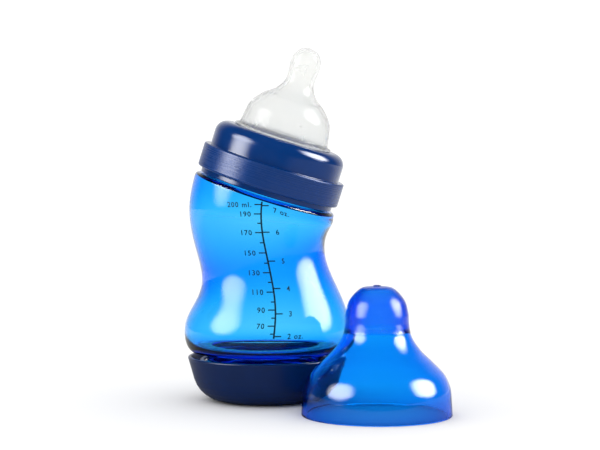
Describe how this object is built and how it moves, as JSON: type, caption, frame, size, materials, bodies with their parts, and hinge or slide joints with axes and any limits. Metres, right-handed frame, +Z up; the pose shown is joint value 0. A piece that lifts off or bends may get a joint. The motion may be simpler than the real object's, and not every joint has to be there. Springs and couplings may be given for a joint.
{
  "type": "baby bottle",
  "caption": "Waisted S-shaped clear blue feeding bottle with a leaning neck, a vented screw base, a screw collar, a soft teat and a dome cap standing beside it.",
  "frame": {"origin": "middle of the flat foot of the base, on the surface that the bottle stands on", "axes": "+Z up; the neck leans towards +X; the cap stands at +X, -Y"},
  "size_m": [0.1188, 0.1003, 0.151],
  "materials": {
    "blue_shell": "clear tinted, high gloss",
    "blue_cap": "clear tinted, gloss",
    "navy_collar": "semi-gloss, fine turned lines",
    "navy_base": "satin",
    "clear_silicone": "soft, clear",
    "valve_silicone": "soft, clear",
    "scale_ink": "printed scale, flat dark ink"
  },
  "bodies": {
    "base": {"base": "navy_base"},
    "valve": {"valve": "valve_silicone"},
    "bottle_body": {"bottle_body": "blue_shell"},
    "teat": {"teat": "clear_silicone"},
    "collar": {"collar": "navy_collar"},
    "cap": {"cap": "blue_cap"}
  },
  "joints": [
    {"name": "body_rise", "type": "slide", "parent": "base", "child": "valve", "axis": [0, 0, 1], "range_m": [0, 0.005]},
    {"name": "body_turn", "type": "hinge", "parent": "valve", "child": "bottle_body", "pos_m": [0, 0, 0.007], "axis": [0, 0, 1], "range_deg": [0, 450]},
    {"name": "collar_rise", "type": "slide", "parent": "bottle_body", "child": "teat", "axis": [0.3057, 0, 0.9521], "range_m": [0, 0.005]},
    {"name": "collar_turn", "type": "hinge", "parent": "teat", "child": "collar", "pos_m": [0.00629, 0, 0.10874], "axis": [0.3057, 0, 0.9521], "range_deg": [0, 450]},
    {"name": "cap_lift", "type": "slide", "parent": "base", "child": "cap", "axis": [0.4222, -0.2679, 0.866], "range_m": [0, 0.16]}
  ],
  "couplings": [
    {"joint": "body_turn", "follows": "body_rise", "rad_per_m": 1570.8},
    {"joint": "collar_turn", "follows": "collar_rise", "rad_per_m": 1570.8}
  ]
}
